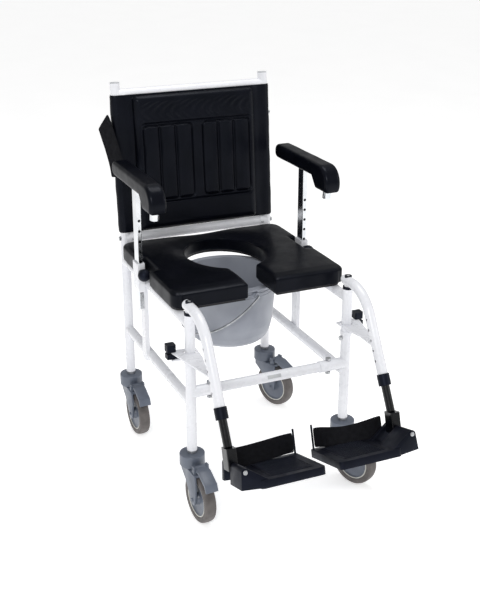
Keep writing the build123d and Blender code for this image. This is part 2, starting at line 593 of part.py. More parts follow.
with BuildPart() as heel_strap:
    with BuildSketch(sole_plane.offset(-SOLE_DROP + 3)):
        with BuildLine():
            Polyline((6, 36), (40, 52), (90, 66), (140, 68), (STRAP_ROD_X - 3.5, STRAP_ROD_Y))
        trace(line_width=STRAP_THICK)
    extrude(amount=STRAP_WIDE)
save_pair("heel_strap", heel_strap.part)

# ---- castors, built about a vertical swivel axis at the origin, trailing towards -Y ----
FORK_IN = 17.5
FORK_OUT = 22.5
BRIDGE = 127.0
AXLE = 4.0
PEDAL_PIN = 3.0
PEDAL_HALF = 13.4
with BuildPart() as castor_fork:
    with Locations((0, 0, RING_LOW)):
        Cylinder(RING, RING_HIGH - RING_LOW, align=(Align.CENTER, Align.CENTER, Align.MIN))
    fillet(castor_fork.edges().filter_by(GeomType.CIRCLE), 2.5)
    block((-FORK_OUT, -58, BRIDGE), (FORK_OUT, 16, RING_LOW))
    with BuildSketch(Plane.YZ.offset(FORK_IN)):
        with Locations((-TRAIL, WHEEL)):
            Circle(15)
        Polygon(
            (16, RING_LOW), (-58, RING_LOW), (-64, 100), (-60, WHEEL), (-31, WHEEL), (-8, 100), (16, 120),
            align=None,
        )
    extrude(amount=FORK_OUT - FORK_IN)
    block((PEDAL_HALF + 0.6, PEDAL_Y - 6, RING_LOW - 2), (PEDAL_HALF + 6.6, PEDAL_Y + 6, PEDAL_Z + 6))
    mirror(about=Plane.YZ)
    rod((-30, PEDAL_Y, PEDAL_Z), (30, PEDAL_Y, PEDAL_Z), PEDAL_PIN + RUN_FIT, mode=Mode.SUBTRACT)
    rod((0, 0, RING_HIGH - 21), (0, 0, RING_HIGH + 5), STEM_BOLT + RUN_FIT, mode=Mode.SUBTRACT)
    rod((-FORK_OUT - 3, -TRAIL, WHEEL), (FORK_OUT + 3, -TRAIL, WHEEL), AXLE)

with BuildPart() as castor_tyre:
    with BuildSketch(Plane((0, -TRAIL, WHEEL))):
        with Locations((0, (WHEEL + TYRE_INNER) / 2)):
            RectangleRounded(2 * TYRE_HALF, WHEEL - TYRE_INNER, 6)
    revolve(axis=Axis((0, -TRAIL, WHEEL), (1, 0, 0)))

with BuildPart() as castor_hub:
    with BuildSketch(Plane((0, -TRAIL, WHEEL))):
        with BuildLine():
            Polyline(
                (-16, AXLE + RUN_FIT), (-16, 13), (-9, 16), (-9, 40), (-12, TYRE_INNER), (12, TYRE_INNER),
                (9, 40), (9, 16), (16, 13), (16, AXLE + RUN_FIT), close=True,
            )
        make_face()
    revolve(axis=Axis((0, -TRAIL, WHEEL), (1, 0, 0)))

with BuildPart() as castor_pedal:
    with BuildSketch(Plane.YZ.offset(-16)):
        Polygon(
            (-44, 151.5), (-70, 148), (-104, 130), (-112, 113), (-107, 111), (-100, 124), (-68, 141),
            (-44, 142),
            align=None,
        )
    extrude(amount=32)
    for side in (-1, 1):
        low_x, high_x = sorted((side * PEDAL_HALF, side * 17))
        block((low_x, PEDAL_Y - 8, 100), (high_x, PEDAL_Y + 12, 200), mode=Mode.SUBTRACT)
    rod((-PEDAL_HALF, PEDAL_Y, PEDAL_Z), (PEDAL_HALF, PEDAL_Y, PEDAL_Z), 5.5)
    rod((-19, PEDAL_Y, PEDAL_Z), (19, PEDAL_Y, PEDAL_Z), PEDAL_PIN)

castor_pieces = {
    "castor_fork": castor_fork.part,
    "castor_tyre": castor_tyre.part,
    "castor_hub": castor_hub.part,
    "castor_pedal": castor_pedal.part,
}
for corner, (x, y, turn) in CASTORS.items():
    for name, piece in castor_pieces.items():
        save(f"{name}_{corner}", piece.moved(Location((x, y, 0), (0, 0, turn))))
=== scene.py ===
"""Commode chair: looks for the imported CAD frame. Metres; +Z up; the chair faces -Y."""
import json
import math

import bmesh
import bpy
import numpy as np
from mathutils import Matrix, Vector


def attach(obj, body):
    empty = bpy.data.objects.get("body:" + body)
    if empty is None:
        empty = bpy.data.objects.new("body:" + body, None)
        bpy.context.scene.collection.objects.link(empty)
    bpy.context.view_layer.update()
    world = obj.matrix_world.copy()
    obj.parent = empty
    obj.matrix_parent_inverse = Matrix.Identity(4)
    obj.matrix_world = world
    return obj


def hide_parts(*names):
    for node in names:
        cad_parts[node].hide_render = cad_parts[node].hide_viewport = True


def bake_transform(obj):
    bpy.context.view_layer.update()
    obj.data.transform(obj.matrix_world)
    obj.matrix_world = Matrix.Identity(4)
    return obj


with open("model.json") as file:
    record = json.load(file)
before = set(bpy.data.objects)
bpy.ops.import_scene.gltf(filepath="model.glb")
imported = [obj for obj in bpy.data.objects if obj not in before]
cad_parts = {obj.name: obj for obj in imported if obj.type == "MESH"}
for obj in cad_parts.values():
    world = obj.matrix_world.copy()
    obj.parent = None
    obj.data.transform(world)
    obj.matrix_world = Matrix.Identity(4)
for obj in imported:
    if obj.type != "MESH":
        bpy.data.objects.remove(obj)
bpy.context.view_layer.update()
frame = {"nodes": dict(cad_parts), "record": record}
nodes = frame["nodes"]


# ---------------------------------------------------------------- materials
def srgb(r, g, b):
    """A colour given as 0-255 sRGB, in the linear values that shaders take."""
    def channel(c):
        c /= 255
        return c / 12.92 if c <= 0.04045 else ((c + 0.055) / 1.055) ** 2.4
    return (channel(r), channel(g), channel(b), 1.0)


class Finish:
    """A node material under construction: one Principled shader, with helpers that add what feeds it."""

    def __init__(self, name, metallic=0.0, coat=0.0, coat_roughness=0.1, specular=0.5):
        self.material = bpy.data.materials.new(name)
        self.material.use_nodes = True
        self.tree = self.material.node_tree
        self.shader = self.tree.nodes["Principled BSDF"]
        self.shader.inputs["Metallic"].default_value = metallic
        self.shader.inputs["Coat Weight"].default_value = coat
        self.shader.inputs["Coat Roughness"].default_value = coat_roughness
        self.shader.inputs["Specular IOR Level"].default_value = specular
        self.place = self.tree.nodes.new("ShaderNodeTexCoord").outputs["Object"]
        self.normal = None

    def node(self, kind, **values):
        made = self.tree.nodes.new(kind)
        for key, value in values.items():
            made.inputs[key.replace("_", " ")].default_value = value
        return made

    def link(self, output, target):
        self.tree.links.new(output, target)

    def stretched(self, scale):
        mapping = self.node("ShaderNodeMapping")
        mapping.inputs["Scale"].default_value = scale
        self.link(self.place, mapping.inputs["Vector"])
        return mapping.outputs["Vector"]

    def noise(self, scale, detail=3.0, stretch=None):
        made = self.node("ShaderNodeTexNoise", Scale=scale, Detail=detail)
        self.link(self.stretched(stretch) if stretch else self.place, made.inputs["Vector"])
        return made.outputs["Fac"]

    def cells(self, scale):
        made = self.node("ShaderNodeTexVoronoi", Scale=scale)
        self.link(self.place, made.inputs["Vector"])
        return made.outputs["Distance"]

    def wave(self, scale, axis):
        made = self.node("ShaderNodeTexWave", Scale=scale)
        made.bands_direction = axis
        self.link(self.place, made.inputs["Vector"])
        return made.outputs["Fac"]

    def ramp(self, source, low, high):
        """The middle of the source's range, where noise lies, spread between two greys or colours."""
        made = self.tree.nodes.new("ShaderNodeValToRGB")
        stops = made.color_ramp.elements
        stops[0].position = 0.3
        stops[1].position = 0.7
        stops[0].color = low if isinstance(low, tuple) else (low, low, low, 1)
        stops[1].color = high if isinstance(high, tuple) else (high, high, high, 1)
        self.link(source, made.inputs["Fac"])
        return made.outputs["Color"]

    def colour(self, source, low, high):
        self.link(self.ramp(source, low, high), self.shader.inputs["Base Color"])
        return self

    def roughness(self, source, low, high):
        self.link(self.ramp(source, low, high), self.shader.inputs["Roughness"])
        return self

    def bump(self, source, strength, distance):
        made = self.node("ShaderNodeBump", Strength=strength, Distance=distance)
        self.link(source, made.inputs["Height"])
        if self.normal:
            self.link(self.normal, made.inputs["Normal"])
        self.normal = made.outputs["Normal"]
        self.link(self.normal, self.shader.inputs["Normal"])
        return self


def make_materials():
    """Every finish of the chair, by name; the black ones have bluish highlights."""
    made = {}
    cool = (0.62, 0.72, 1.0, 1.0)

    paint = Finish("white_paint", coat=0.35, coat_roughness=0.12)
    paint.colour(paint.noise(9), srgb(226, 227, 232), srgb(234, 235, 239))
    paint.roughness(paint.noise(40, 4), 0.24, 0.32)
    paint.bump(paint.noise(220, 1), 0.02, 0.00015)
    made["white_paint"] = paint

    chrome = Finish("chrome", metallic=1.0)
    chrome.colour(chrome.noise(25), srgb(205, 208, 212), srgb(228, 230, 232))
    chrome.roughness(chrome.noise(60, 4, stretch=(8, 8, 1)), 0.12, 0.24)
    chrome.bump(chrome.noise(700, 2, stretch=(6, 6, 1)), 0.04, 0.0003)
    made["chrome"] = chrome

    vinyl = Finish("vinyl", coat=0.1, coat_roughness=0.24, specular=0.1)
    vinyl.colour(vinyl.noise(18), srgb(3, 4, 8), srgb(9, 10, 17))
    vinyl.roughness(vinyl.noise(35, 5), 0.36, 0.5)
    vinyl.bump(vinyl.cells(420), 0.22, 0.0005)
    vinyl.bump(vinyl.noise(55, 5), 0.25, 0.0012)
    vinyl.shader.inputs["Specular Tint"].default_value = cool
    made["vinyl"] = vinyl

    foam = Finish("moulded_foam", coat=0.1, coat_roughness=0.18, specular=0.09)
    foam.colour(foam.noise(14), srgb(3, 4, 8), srgb(9, 10, 17))
    foam.roughness(foam.noise(30, 4), 0.34, 0.48)
    foam.bump(foam.cells(700), 0.16, 0.0004)
    foam.bump(foam.noise(25, 3), 0.12, 0.001)
    foam.shader.inputs["Specular Tint"].default_value = cool
    made["moulded_foam"] = foam

    plastic = Finish("black_plastic", specular=0.2)
    plastic.colour(plastic.noise(20), srgb(6, 7, 13), srgb(15, 16, 25))
    plastic.roughness(plastic.noise(50, 4), 0.38, 0.52)
    plastic.bump(plastic.noise(1300, 2), 0.12, 0.0003)
    plastic.shader.inputs["Specular Tint"].default_value = cool
    made["black_plastic"] = plastic

    castor = Finish("castor_plastic", coat=0.1, coat_roughness=0.25)
    castor.colour(castor.noise(22), srgb(86, 93, 106), srgb(104, 111, 124))
    castor.roughness(castor.noise(60, 4), 0.3, 0.46)
    castor.bump(castor.noise(1000, 2), 0.1, 0.0003)
    made["castor_plastic"] = castor

    tyre = Finish("tyre_rubber", specular=0.35)
    tyre.colour(tyre.noise(45, 5), srgb(84, 80, 79), srgb(108, 103, 101))
    tyre.roughness(tyre.noise(70, 4), 0.45, 0.68)
    tyre.bump(tyre.noise(800, 4), 0.2, 0.0004)
    made["tyre_rubber"] = tyre

    ring = Finish("wheel_ring", specular=0.4)
    ring.colour(ring.noise(60), srgb(206, 205, 196), srgb(222, 221, 214))
    ring.roughness(ring.noise(90, 3), 0.4, 0.6)
    ring.bump(ring.noise(900, 2), 0.08, 0.0003)
    made["wheel_ring"] = ring

    pail = Finish("bucket_plastic", coat=0.08, coat_roughness=0.3)
    pail.colour(pail.noise(12), srgb(143, 147, 157), srgb(160, 164, 173))
    pail.roughness(pail.noise(40, 4), 0.34, 0.48)
    pail.bump(pail.noise(500, 3), 0.08, 0.0005)
    made["bucket_plastic"] = pail

    webbing = Finish("webbing", specular=0.15)
    webbing.colour(webbing.noise(120, 3), srgb(4, 4, 8), srgb(14, 15, 21))
    webbing.roughness(webbing.noise(90, 3), 0.6, 0.82)
    webbing.bump(webbing.wave(260, "Z"), 0.35, 0.0006)
    webbing.bump(webbing.wave(300, "X"), 0.3, 0.0005)
    made["webbing"] = webbing

    zinc = Finish("zinc", metallic=0.9)
    zinc.colour(zinc.noise(80, 4), srgb(150, 152, 155), srgb(196, 198, 200))
    zinc.roughness(zinc.noise(120, 4), 0.26, 0.42)
    zinc.bump(zinc.noise(1500, 3), 0.08, 0.0003)
    made["zinc"] = zinc

    black_steel = Finish("black_steel", coat=0.22, coat_roughness=0.06, specular=0.3)
    black_steel.colour(black_steel.noise(30), srgb(4, 5, 9), srgb(10, 11, 16))
    black_steel.roughness(black_steel.noise(50, 3), 0.16, 0.28)
    black_steel.bump(black_steel.noise(800, 2), 0.05, 0.0003)
    made["black_steel"] = black_steel

    grey = Finish("grey_plastic", specular=0.4)
    grey.colour(grey.noise(40), srgb(176, 178, 181), srgb(196, 198, 200))
    grey.roughness(grey.noise(70, 3), 0.4, 0.55)
    grey.bump(grey.noise(1200, 2), 0.1, 0.0003)
    made["grey_plastic"] = grey

    board = Finish("board", specular=0.3)
    board.colour(board.noise(6, 6, stretch=(1, 9, 9)), srgb(26, 26, 30), srgb(44, 43, 46))
    board.roughness(board.noise(60, 4), 0.55, 0.75)
    board.bump(board.noise(300, 4, stretch=(1, 6, 6)), 0.15, 0.0005)
    made["board"] = board
    return {name: finish.material for name, finish in made.items()}


materials = make_materials()


def dress(obj, name):
    obj.data.materials.clear()
    obj.data.materials.append(materials[name])


for entry in frame["record"]["subparts"]:
    dress(nodes[entry["node"]], entry["material_slot"])


# ---------------------------------------------------------------- camera, floor and light
VIEW_TURN = math.radians(-23.6)
VIEW_DOWN = math.radians(22.0)
VIEW_DISTANCE = 2.6
LOOK_AT = Vector((-0.013, 0.044, 0.477))
FLOOR_HALF = 14.0
FLOOR_GLOW = 0.5
WORLD_STRENGTH = 0.46
LIT_POINT = Vector((0, 0, 0.5))


def add_camera():
    data = bpy.data.cameras.new("camera")
    data.lens = 62.0
    data.sensor_width = 36.0
    camera = bpy.data.objects.new("camera", data)
    bpy.context.scene.collection.objects.link(camera)
    level = math.cos(VIEW_DOWN)
    toward = Vector((-math.sin(VIEW_TURN) * level, math.cos(VIEW_TURN) * level, -math.sin(VIEW_DOWN)))
    camera.location = LOOK_AT - toward * VIEW_DISTANCE
    camera.rotation_euler = toward.to_track_quat("-Z", "Y").to_euler()
    bpy.context.scene.camera = camera


def add_floor():
    mesh = bpy.data.meshes.new("floor")
    corners = [(x * FLOOR_HALF, y * FLOOR_HALF, 0) for x, y in ((-1, -1), (1, -1), (1, 1), (-1, 1))]
    mesh.from_pydata(corners, [], [(0, 1, 2, 3)])
    floor = bpy.data.objects.new("floor", mesh)
    bpy.context.scene.collection.objects.link(floor)
    pale = Finish("floor_white", specular=0.2)
    pale.colour(pale.noise(3), srgb(250, 250, 250), srgb(254, 254, 254))
    pale.roughness(pale.noise(5), 0.8, 0.9)
    pale.shader.inputs["Emission Color"].default_value = (1.0, 1.0, 1.0, 1.0)
    pale.shader.inputs["Emission Strength"].default_value = FLOOR_GLOW
    mesh.materials.append(pale.material)


def add_light(name, place, power, size):
    """A rectangular lamp aimed at the chair's middle; power in watts, size in metres."""
    data = bpy.data.lights.new(name, "AREA")
    data.energy = power
    data.shape = "RECTANGLE"
    data.size = size[0]
    data.size_y = size[1]
    light = bpy.data.objects.new(name, data)
    bpy.context.scene.collection.objects.link(light)
    light.location = place
    light.rotation_euler = (LIT_POINT - Vector(place)).to_track_quat("-Z", "Y").to_euler()


def add_world():
    world = bpy.data.worlds.new("studio")
    bpy.context.scene.world = world
    world.use_nodes = True
    background = world.node_tree.nodes["Background"]
    background.inputs["Color"].default_value = (1, 1, 1, 1)
    background.inputs["Strength"].default_value = WORLD_STRENGTH


bpy.context.scene.view_settings.view_transform = "Standard"
add_camera()
add_floor()
add_world()
add_light("key", (-1.8, -2.6, 2.6), 46, (1.0, 1.0))
add_light("fill", (2.6, -1.6, 1.8), 14, (1.4, 1.4))
add_light("top", (0.2, 0.4, 3.2), 30, (1.6, 1.2))


# ---------------------------------------------------------------- mesh tools
def link(name, mesh):
    obj = bpy.data.objects.new(name, mesh)
    bpy.context.scene.collection.objects.link(obj)
    return obj


def mesh_object(name, points, faces):
    mesh = bpy.data.meshes.new(name)
    mesh.from_pydata([tuple(p) for p in points], [], faces)
    mesh.update()
    obj = link(name, mesh)
    tidy_normals(obj)
    return obj


def tidy_normals(obj):
    work = bmesh.new()
    work.from_mesh(obj.data)
    bmesh.ops.recalc_face_normals(work, faces=work.faces)
    work.to_mesh(obj.data)
    work.free()


def smooth(obj, angle=40.0):
    obj.data.shade_smooth()
    obj.data.set_sharp_from_angle(angle=math.radians(angle))
    return obj


def settle(obj):
    """Apply the object's modifiers to its mesh."""
    graph = bpy.context.evaluated_depsgraph_get()
    final = bpy.data.meshes.new_from_object(obj.evaluated_get(graph))
    obj.modifiers.clear()
    obj.data = final
    return obj


def place(obj, body, slot, stands_for=None, look=None):
    """Finish a piece: its look, which is its slot's own unless given, its body and the node it stands for."""
    dress(obj, look or slot)
    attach(obj, body)
    if stands_for:
        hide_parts(stands_for)


def copy_of(node, name):
    """A new object with a clean copy of a CAD node's mesh: shared corners joined, flat faces whole."""
    mesh = nodes[node].data.copy()
    mesh.name = name
    work = bmesh.new()
    work.from_mesh(mesh)
    bmesh.ops.remove_doubles(work, verts=work.verts, dist=1e-6)
    bmesh.ops.dissolve_limit(work, angle_limit=math.radians(0.5), verts=work.verts, edges=work.edges)
    work.to_mesh(mesh)
    work.free()
    return link(name, mesh)


def softened(node, name, width):
    """A CAD node's shape with its sharp edges rounded over."""
    obj = copy_of(node, name)
    bevel = obj.modifiers.new("round", "BEVEL")
    bevel.width = width
    bevel.segments = 2
    bevel.limit_method = "ANGLE"
    bevel.angle_limit = math.radians(35)
    bevel.use_clamp_overlap = True
    settle(obj)
    return smooth(obj, 50)


def moulded(node, name, voxel, rounds):
    """A CAD node's shape as one soft skin: an even mesh, relaxed until its edges are round."""
    obj = copy_of(node, name)
    remesh = obj.modifiers.new("even", "REMESH")
    remesh.mode = "VOXEL"
    remesh.voxel_size = voxel
    relax = obj.modifiers.new("relax", "SMOOTH")
    relax.factor = 0.5
    relax.iterations = rounds
    settle(obj)
    obj.data.shade_smooth()
    return obj


def points_of(obj):
    points = np.empty(len(obj.data.vertices) * 3)
    obj.data.vertices.foreach_get("co", points)
    return points.reshape(-1, 3)


def normals_of(obj):
    normals = np.empty(len(obj.data.vertices) * 3)
    obj.data.vertices.foreach_get("normal", normals)
    return normals.reshape(-1, 3)


def set_points(obj, points):
    obj.data.vertices.foreach_set("co", points.ravel())
    obj.data.update()


def finer(obj):
    """The mesh subdivided once."""
    sub = obj.modifiers.new("finer", "SUBSURF")
    sub.levels = 1
    sub.render_levels = 1
    settle(obj)
    obj.data.shade_smooth()


def between_rings(count, a, b):
    """The quads between two closed rings of count points, which start at index a and index b."""
    return [(a + i, a + (i + 1) % count, b + (i + 1) % count, b + i) for i in range(count)]


def loft(name, rings):
    """A closed skin through rings of points, each ring with the same number of points."""
    count = len(rings[0])
    points = [p for ring in rings for p in ring]
    faces = []
    for row in range(len(rings) - 1):
        faces += between_rings(count, row * count, (row + 1) * count)
    faces.append(tuple(range(count - 1, -1, -1)))
    faces.append(tuple((len(rings) - 1) * count + i for i in range(count)))
    return mesh_object(name, points, faces)


def lathe(name, profile, centre, axis, steps):
    """A closed profile of (along the axis, radius) turned about an axis."""
    axis = Vector(axis).normalized()
    side = axis.orthogonal().normalized()
    other = axis.cross(side)
    centre = Vector(centre)
    rings = []
    for step in range(steps):
        turn = 2 * math.pi * step / steps
        out = side * math.cos(turn) + other * math.sin(turn)
        rings.append([centre + axis * along + out * radius for along, radius in profile])
    count = len(profile)
    points = [p for ring in rings for p in ring]
    faces = []
    for step in range(steps):
        faces += between_rings(count, step * count, ((step + 1) % steps) * count)
    return mesh_object(name, points, faces)


WEBBING_THICK = 0.0022
# the strap's section, in half widths and half thicknesses
WEBBING_SECTION = (
    (-1, -0.6), (-0.96, -1), (0.96, -1), (1, -0.6), (1, 0.6), (0.96, 1), (-0.96, 1), (-1, 0.6),
)


def webbing(name, path, across, width):
    """A woven strap along path; across gives the direction of its width at each point."""
    rings = []
    for i, centre in enumerate(path):
        ahead = path[min(i + 1, len(path) - 1)] - path[max(i - 1, 0)]
        flat = across[i].normalized()
        face = ahead.cross(flat).normalized()
        rings.append([
            centre + flat * (u * width / 2) + face * (w * WEBBING_THICK / 2) for u, w in WEBBING_SECTION
        ])
    return smooth(loft(name, rings), 50)


def curve_through(points, per_span):
    """Points of a smooth curve through the given ones (Catmull-Rom)."""
    ends = [points[0] * 2 - points[1], *points, points[-1] * 2 - points[-2]]
    made = []
    for i in range(1, len(ends) - 2):
        p0, p1, p2, p3 = ends[i - 1:i + 3]
        for step in range(per_span):
            t = step / per_span
            made.append(
                0.5 * (2 * p1 + (p2 - p0) * t + (2 * p0 - 5 * p1 + 4 * p2 - p3) * t**2
                       + (3 * p1 - p0 - 3 * p2 + p3) * t**3)
            )
    made.append(points[-1])
    return made


# ---------------------------------------------------------------- the chair's main places
SIDES = {"left": -1, "right": 1}
LEG_X = 0.208                # the axes of the legs, posts and castors
FRONT_Y = -0.111
REAR_Y = 0.367
CROSSBAR_Z = 0.328
BUCKET_CENTRE = Vector((0, 0.148, 0))

# ---------------------------------------------------------------- backrest
LEAN = math.radians(4.9)
BACK_FOOT = Vector((0.0, REAR_Y, 0.568))
UP_BACK = Vector((0.0, math.sin(LEAN), math.cos(LEAN)))
OUT_BACK = Vector((0.0, -math.cos(LEAN), math.sin(LEAN)))
PANEL_HALF = 0.170
PANEL_LOW, PANEL_HIGH = 0.018, 0.374
SHEET_OUT = 0.0175
COVER_LOW, COVER_HIGH = 0.0165, 0.3775
SLEEVE_RADIUS = 0.0158
SLEEVE_FRONT, SLEEVE_INNER = math.pi / 2, math.radians(411)  # where a sleeve's round starts and ends


def on_back(right, up, out):
    """A point in the backrest's own directions, from the middle of its foot."""
    return BACK_FOOT + Vector((right, 0, 0)) + UP_BACK * up + OUT_BACK * out


def box_distance(x, y, low_x, high_x, low_y, high_y, radius):
    """Distance outside a rounded rectangle; negative inside it."""
    qx = np.abs(x - (low_x + high_x) / 2) - (high_x - low_x) / 2 + radius
    qy = np.abs(y - (low_y + high_y) / 2) - (high_y - low_y) / 2 + radius
    outside = np.hypot(np.maximum(qx, 0), np.maximum(qy, 0))
    return outside + np.minimum(np.maximum(qx, qy), 0) - radius


def groove(distance, depth, width):
    return depth * np.exp(-((distance / width) ** 2))


def ripple(x, y, seed):
    """Soft uneven swelling, from a few fixed waves."""
    total = 0
    for k, (a, b) in enumerate(((31, 17), (-23, 41), (57, -29), (11, 73))):
        total = total + np.sin(a * x + b * y + seed * (k + 1) * 1.7) / (k + 1)
    return total / 2


def panel_height(x, up):
    """How far the padded panel stands off its sheet, with its frames and channels pressed in."""
    edge = -box_distance(x, up, -PANEL_HALF, PANEL_HALF, PANEL_LOW, PANEL_HIGH, 0.014)
    rise = np.clip(edge / 0.020, 0, 1)
    height = 0.0165 * np.sqrt(1 - (1 - rise) ** 2)
    inside = np.clip((edge - 0.012) / 0.01, 0, 1)
    low, high = 0.091, 0.301
    height -= inside * groove(box_distance(x, up, -0.157, 0.159, low, high, 0.014), 0.0036, 0.0021)
    for left, right in ((-0.149, -0.014), (0.016, 0.151)):
        frame_edge = box_distance(x, up, left, right, low + 0.008, high - 0.007, 0.010)
        height -= groove(frame_edge, 0.0044, 0.0023)
        within = np.clip(-frame_edge / 0.006, 0, 1)
        step = (right - left) / 3
        for k in (1, 2):
            height -= within * groove(x - left - step * k, 0.0050, 0.0040)
        height += within * (0.0030 * np.abs(np.sin(np.pi * (x - left) / step)) - 0.0016)
    height += inside * 0.0011 * ripple(x, up, 0.6)
    top_band = np.clip((up - high - 0.006) / 0.012, 0, 1) * inside
    height += top_band * 0.0008 * np.sin(260 * x + 40 * np.sin(24 * up)) * np.sin(50 * up + 31 * x)
    return height


def make_back_panel():
    across, along = 205, 217
    xs = np.linspace(-PANEL_HALF, PANEL_HALF, across)
    ups = np.linspace(PANEL_LOW, PANEL_HIGH, along)
    grid_x, grid_up = np.meshgrid(xs, ups)
    heights = panel_height(grid_x, grid_up)
    points, faces = [], []
    for row in range(along):
        for col in range(across):
            points.append(on_back(xs[col], ups[row], SHEET_OUT + max(heights[row, col], 0.0)))
    for row in range(along - 1):
        for col in range(across - 1):
            a = row * across + col
            faces.append((a, a + 1, a + across + 1, a + across))
    border = list(range(across))
    border += [r * across + across - 1 for r in range(1, along)]
    border += [(along - 1) * across + c for c in range(across - 2, -1, -1)]
    border += [r * across for r in range(along - 2, 0, -1)]
    base = len(points)
    for index in border:
        row, col = divmod(index, across)
        points.append(on_back(xs[col] * 0.985, ups[row] * 0.99 + 0.002, SHEET_OUT - 0.003))
    count = len(border)
    for i in range(count):
        j = (i + 1) % count
        faces.append((border[i], border[j], base + j, base + i))
    faces.append(tuple(base + i for i in range(count)))
    panel = mesh_object("back_panel", points, faces)
    smooth(panel, 60)
    place(panel, "frame", "vinyl", "backrest_pad")


def sleeve_round(sign, up, hem, seed, start, end):
    """Points round the outside of one sleeve at height up, puckered and seamed, from start to end."""
    made = []
    for k in range(34):
        angle = start + (end - start) * k / 33
        pucker = 0.0005 * math.sin(95 * up + 3 * angle + seed) * math.sin(31 * up + seed)
        seam = 0.0008 * math.exp(-((angle - 1.95) / 0.07) ** 2)
        radius = SLEEVE_RADIUS + pucker - hem - seam
        made.append(on_back(sign * (LEG_X - radius * math.cos(angle)), up, radius * math.sin(angle)))
    return made


def make_back_cover():
    """The sheet between the posts, with a sleeve round each post: one closed skin."""
    rings = []
    rows = 74
    for row in range(rows):
        up = COVER_LOW + (COVER_HIGH - COVER_LOW) * row / (rows - 1)
        end = min(up - COVER_LOW, COVER_HIGH - up)
        hem = 0.0006 * math.exp(-((end - 0.012) / 0.0022) ** 2) + 0.0012 * math.exp(-end / 0.002)
        ring = sleeve_round(-1, up, hem, 0.4, SLEEVE_FRONT, SLEEVE_INNER)
        for k in range(1, 16):
            t = k / 16
            x = -LEG_X + 0.0102 + (2 * LEG_X - 0.0204) * t
            ring.append(on_back(x, up, 0.0125 + 0.0005 * math.sin(9 * t)))
        ring += sleeve_round(1, up, hem, 2.1, SLEEVE_INNER, SLEEVE_FRONT)
        for k in range(1, 48):
            x = LEG_X - 2 * LEG_X * k / 48
            near = LEG_X - abs(x)
            dip = 0.0022 * math.sin(min(near / 0.04, 1) * math.pi) ** 2
            stitch = 0.0009 * math.exp(-((near - 0.0165) / 0.0016) ** 2)
            wave = 0.0006 * math.sin(43 * up + 60 * near) * min(near / 0.02, 1)
            rise = 0.0022 * min(near / 0.03, 1)
            ring.append(on_back(x, up, SLEEVE_RADIUS - hem - dip - stitch + wave + rise))
        rings.append(ring)
    cover = loft("back_cover", rings)
    smooth(cover, 45)
    place(cover, "frame", "vinyl", "backrest_cover")


make_back_cover()
make_back_panel()


# ---------------------------------------------------------------- seat and arm pads
def make_seat():
    """The horseshoe pad, dished behind its hole, crowned across and falling away at the front and sides."""
    seat = moulded("seat_pad", "seat_cushion", 0.0034, 9)
    points = points_of(seat)
    x, y, z = points.T
    top = np.clip((z - 0.556) / 0.008, 0, 1)
    ring = np.hypot(x / 0.102, (y - 0.175) / 0.125)
    hollow = np.exp(-((ring - 1.0) / 0.36) ** 2) * np.clip((y - 0.15) / 0.1, 0, 1)
    dish = 0.0085 * hollow + 0.0022 * np.exp(-((ring - 1.05) / 0.2) ** 2)
    crown = 0.0016 * (1 - np.clip(np.abs(x) / 0.225, 0, 1) ** 4)
    z -= top * (dish + 0.0016 - crown * 0.5)
    front = np.clip((-0.03 - y) / 0.03, 0, 1)
    z -= top * front * 0.0035
    flank = np.clip(np.abs(x) - 0.2, 0, 1) / 0.03
    z -= top * flank * 0.002
    z += top * 0.0005 * ripple(x * 0.8, y * 0.8, 1.3)
    points[:, 2] = z
    crease = np.exp(-((np.abs(x) - 0.213) / 0.0035) ** 2) * np.exp(-((y + 0.058) / 0.012) ** 2)
    points[:, 1] += 0.0018 * crease
    set_points(seat, points)
    finer(seat)
    place(seat, "frame", "moulded_foam", "seat_pad")


def make_arm_pad(side):
    pad = moulded(f"arm_pad_{side}", f"arm_cushion_{side}", 0.0022, 6)
    points = points_of(pad)
    normals = normals_of(pad)
    points += normals * (0.0005 + 0.0003 * ripple(points[:, 1:2] * 2, points[:, 2:3] * 3, 0.9))
    set_points(pad, points)
    place(pad, f"arm_{side}", "moulded_foam", f"arm_pad_{side}")


make_seat()
for side in SIDES:
    make_arm_pad(side)


# ---------------------------------------------------------------- footrests
TILT = math.radians(17)
HINGE = {side: Vector((sign * LEG_X, -0.352, 0.262)) for side, sign in SIDES.items()}
TREAD_TOP = -0.0254          # the plate's upper face, below the hinge
TREAD_LEFT, TREAD_RIGHT = 0.0645, 0.1695
TREAD_FRONT, TREAD_BACK = -0.0645, 0.0490


def on_sole(side, x, y, z):
    """A point in a footplate's own directions: x inward from the hinge, y rearward, z square to the plate."""
    inward = -SIDES[side]
    rearward = Vector((0, math.cos(TILT), -math.sin(TILT)))
    upward = Vector((0, math.sin(TILT), math.cos(TILT)))
    return HINGE[side] + Vector((inward * x, 0, 0)) + rearward * y + upward * z


def make_heel_strap(side):
    """Webbing from the stem's block round to the rod on the plate, slack enough to sag and twist."""
    sag = 0.006 if side == "left" else 0.012
    twist = math.radians(10 if side == "left" else 34)
    route = [(0.010, 0.0375), (0.040, 0.052), (0.090, 0.066), (0.140, 0.068), (0.1815, 0.0585)]
    flat = curve_through([Vector((a, b, 0)) for a, b in route], 9)
    path, across = [], []
    for i, point in enumerate(flat):
        t = i / (len(flat) - 1)
        dip = math.sin(math.pi * t) ** 1.5
        turn = twist * math.sin(math.pi * t) ** 2
        path.append(on_sole(side, point.x, point.y - 0.004 * dip, 0.0026 - sag * dip))
        up = on_sole(side, 0, math.sin(turn), math.cos(turn)) - HINGE[side]
        across.append(up)
    strap = webbing(f"heel_webbing_{side}", path, across, 0.047)
    finer(strap)
    dress(strap, "webbing")
    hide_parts(f"heel_strap_{side}")
    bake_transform(strap)


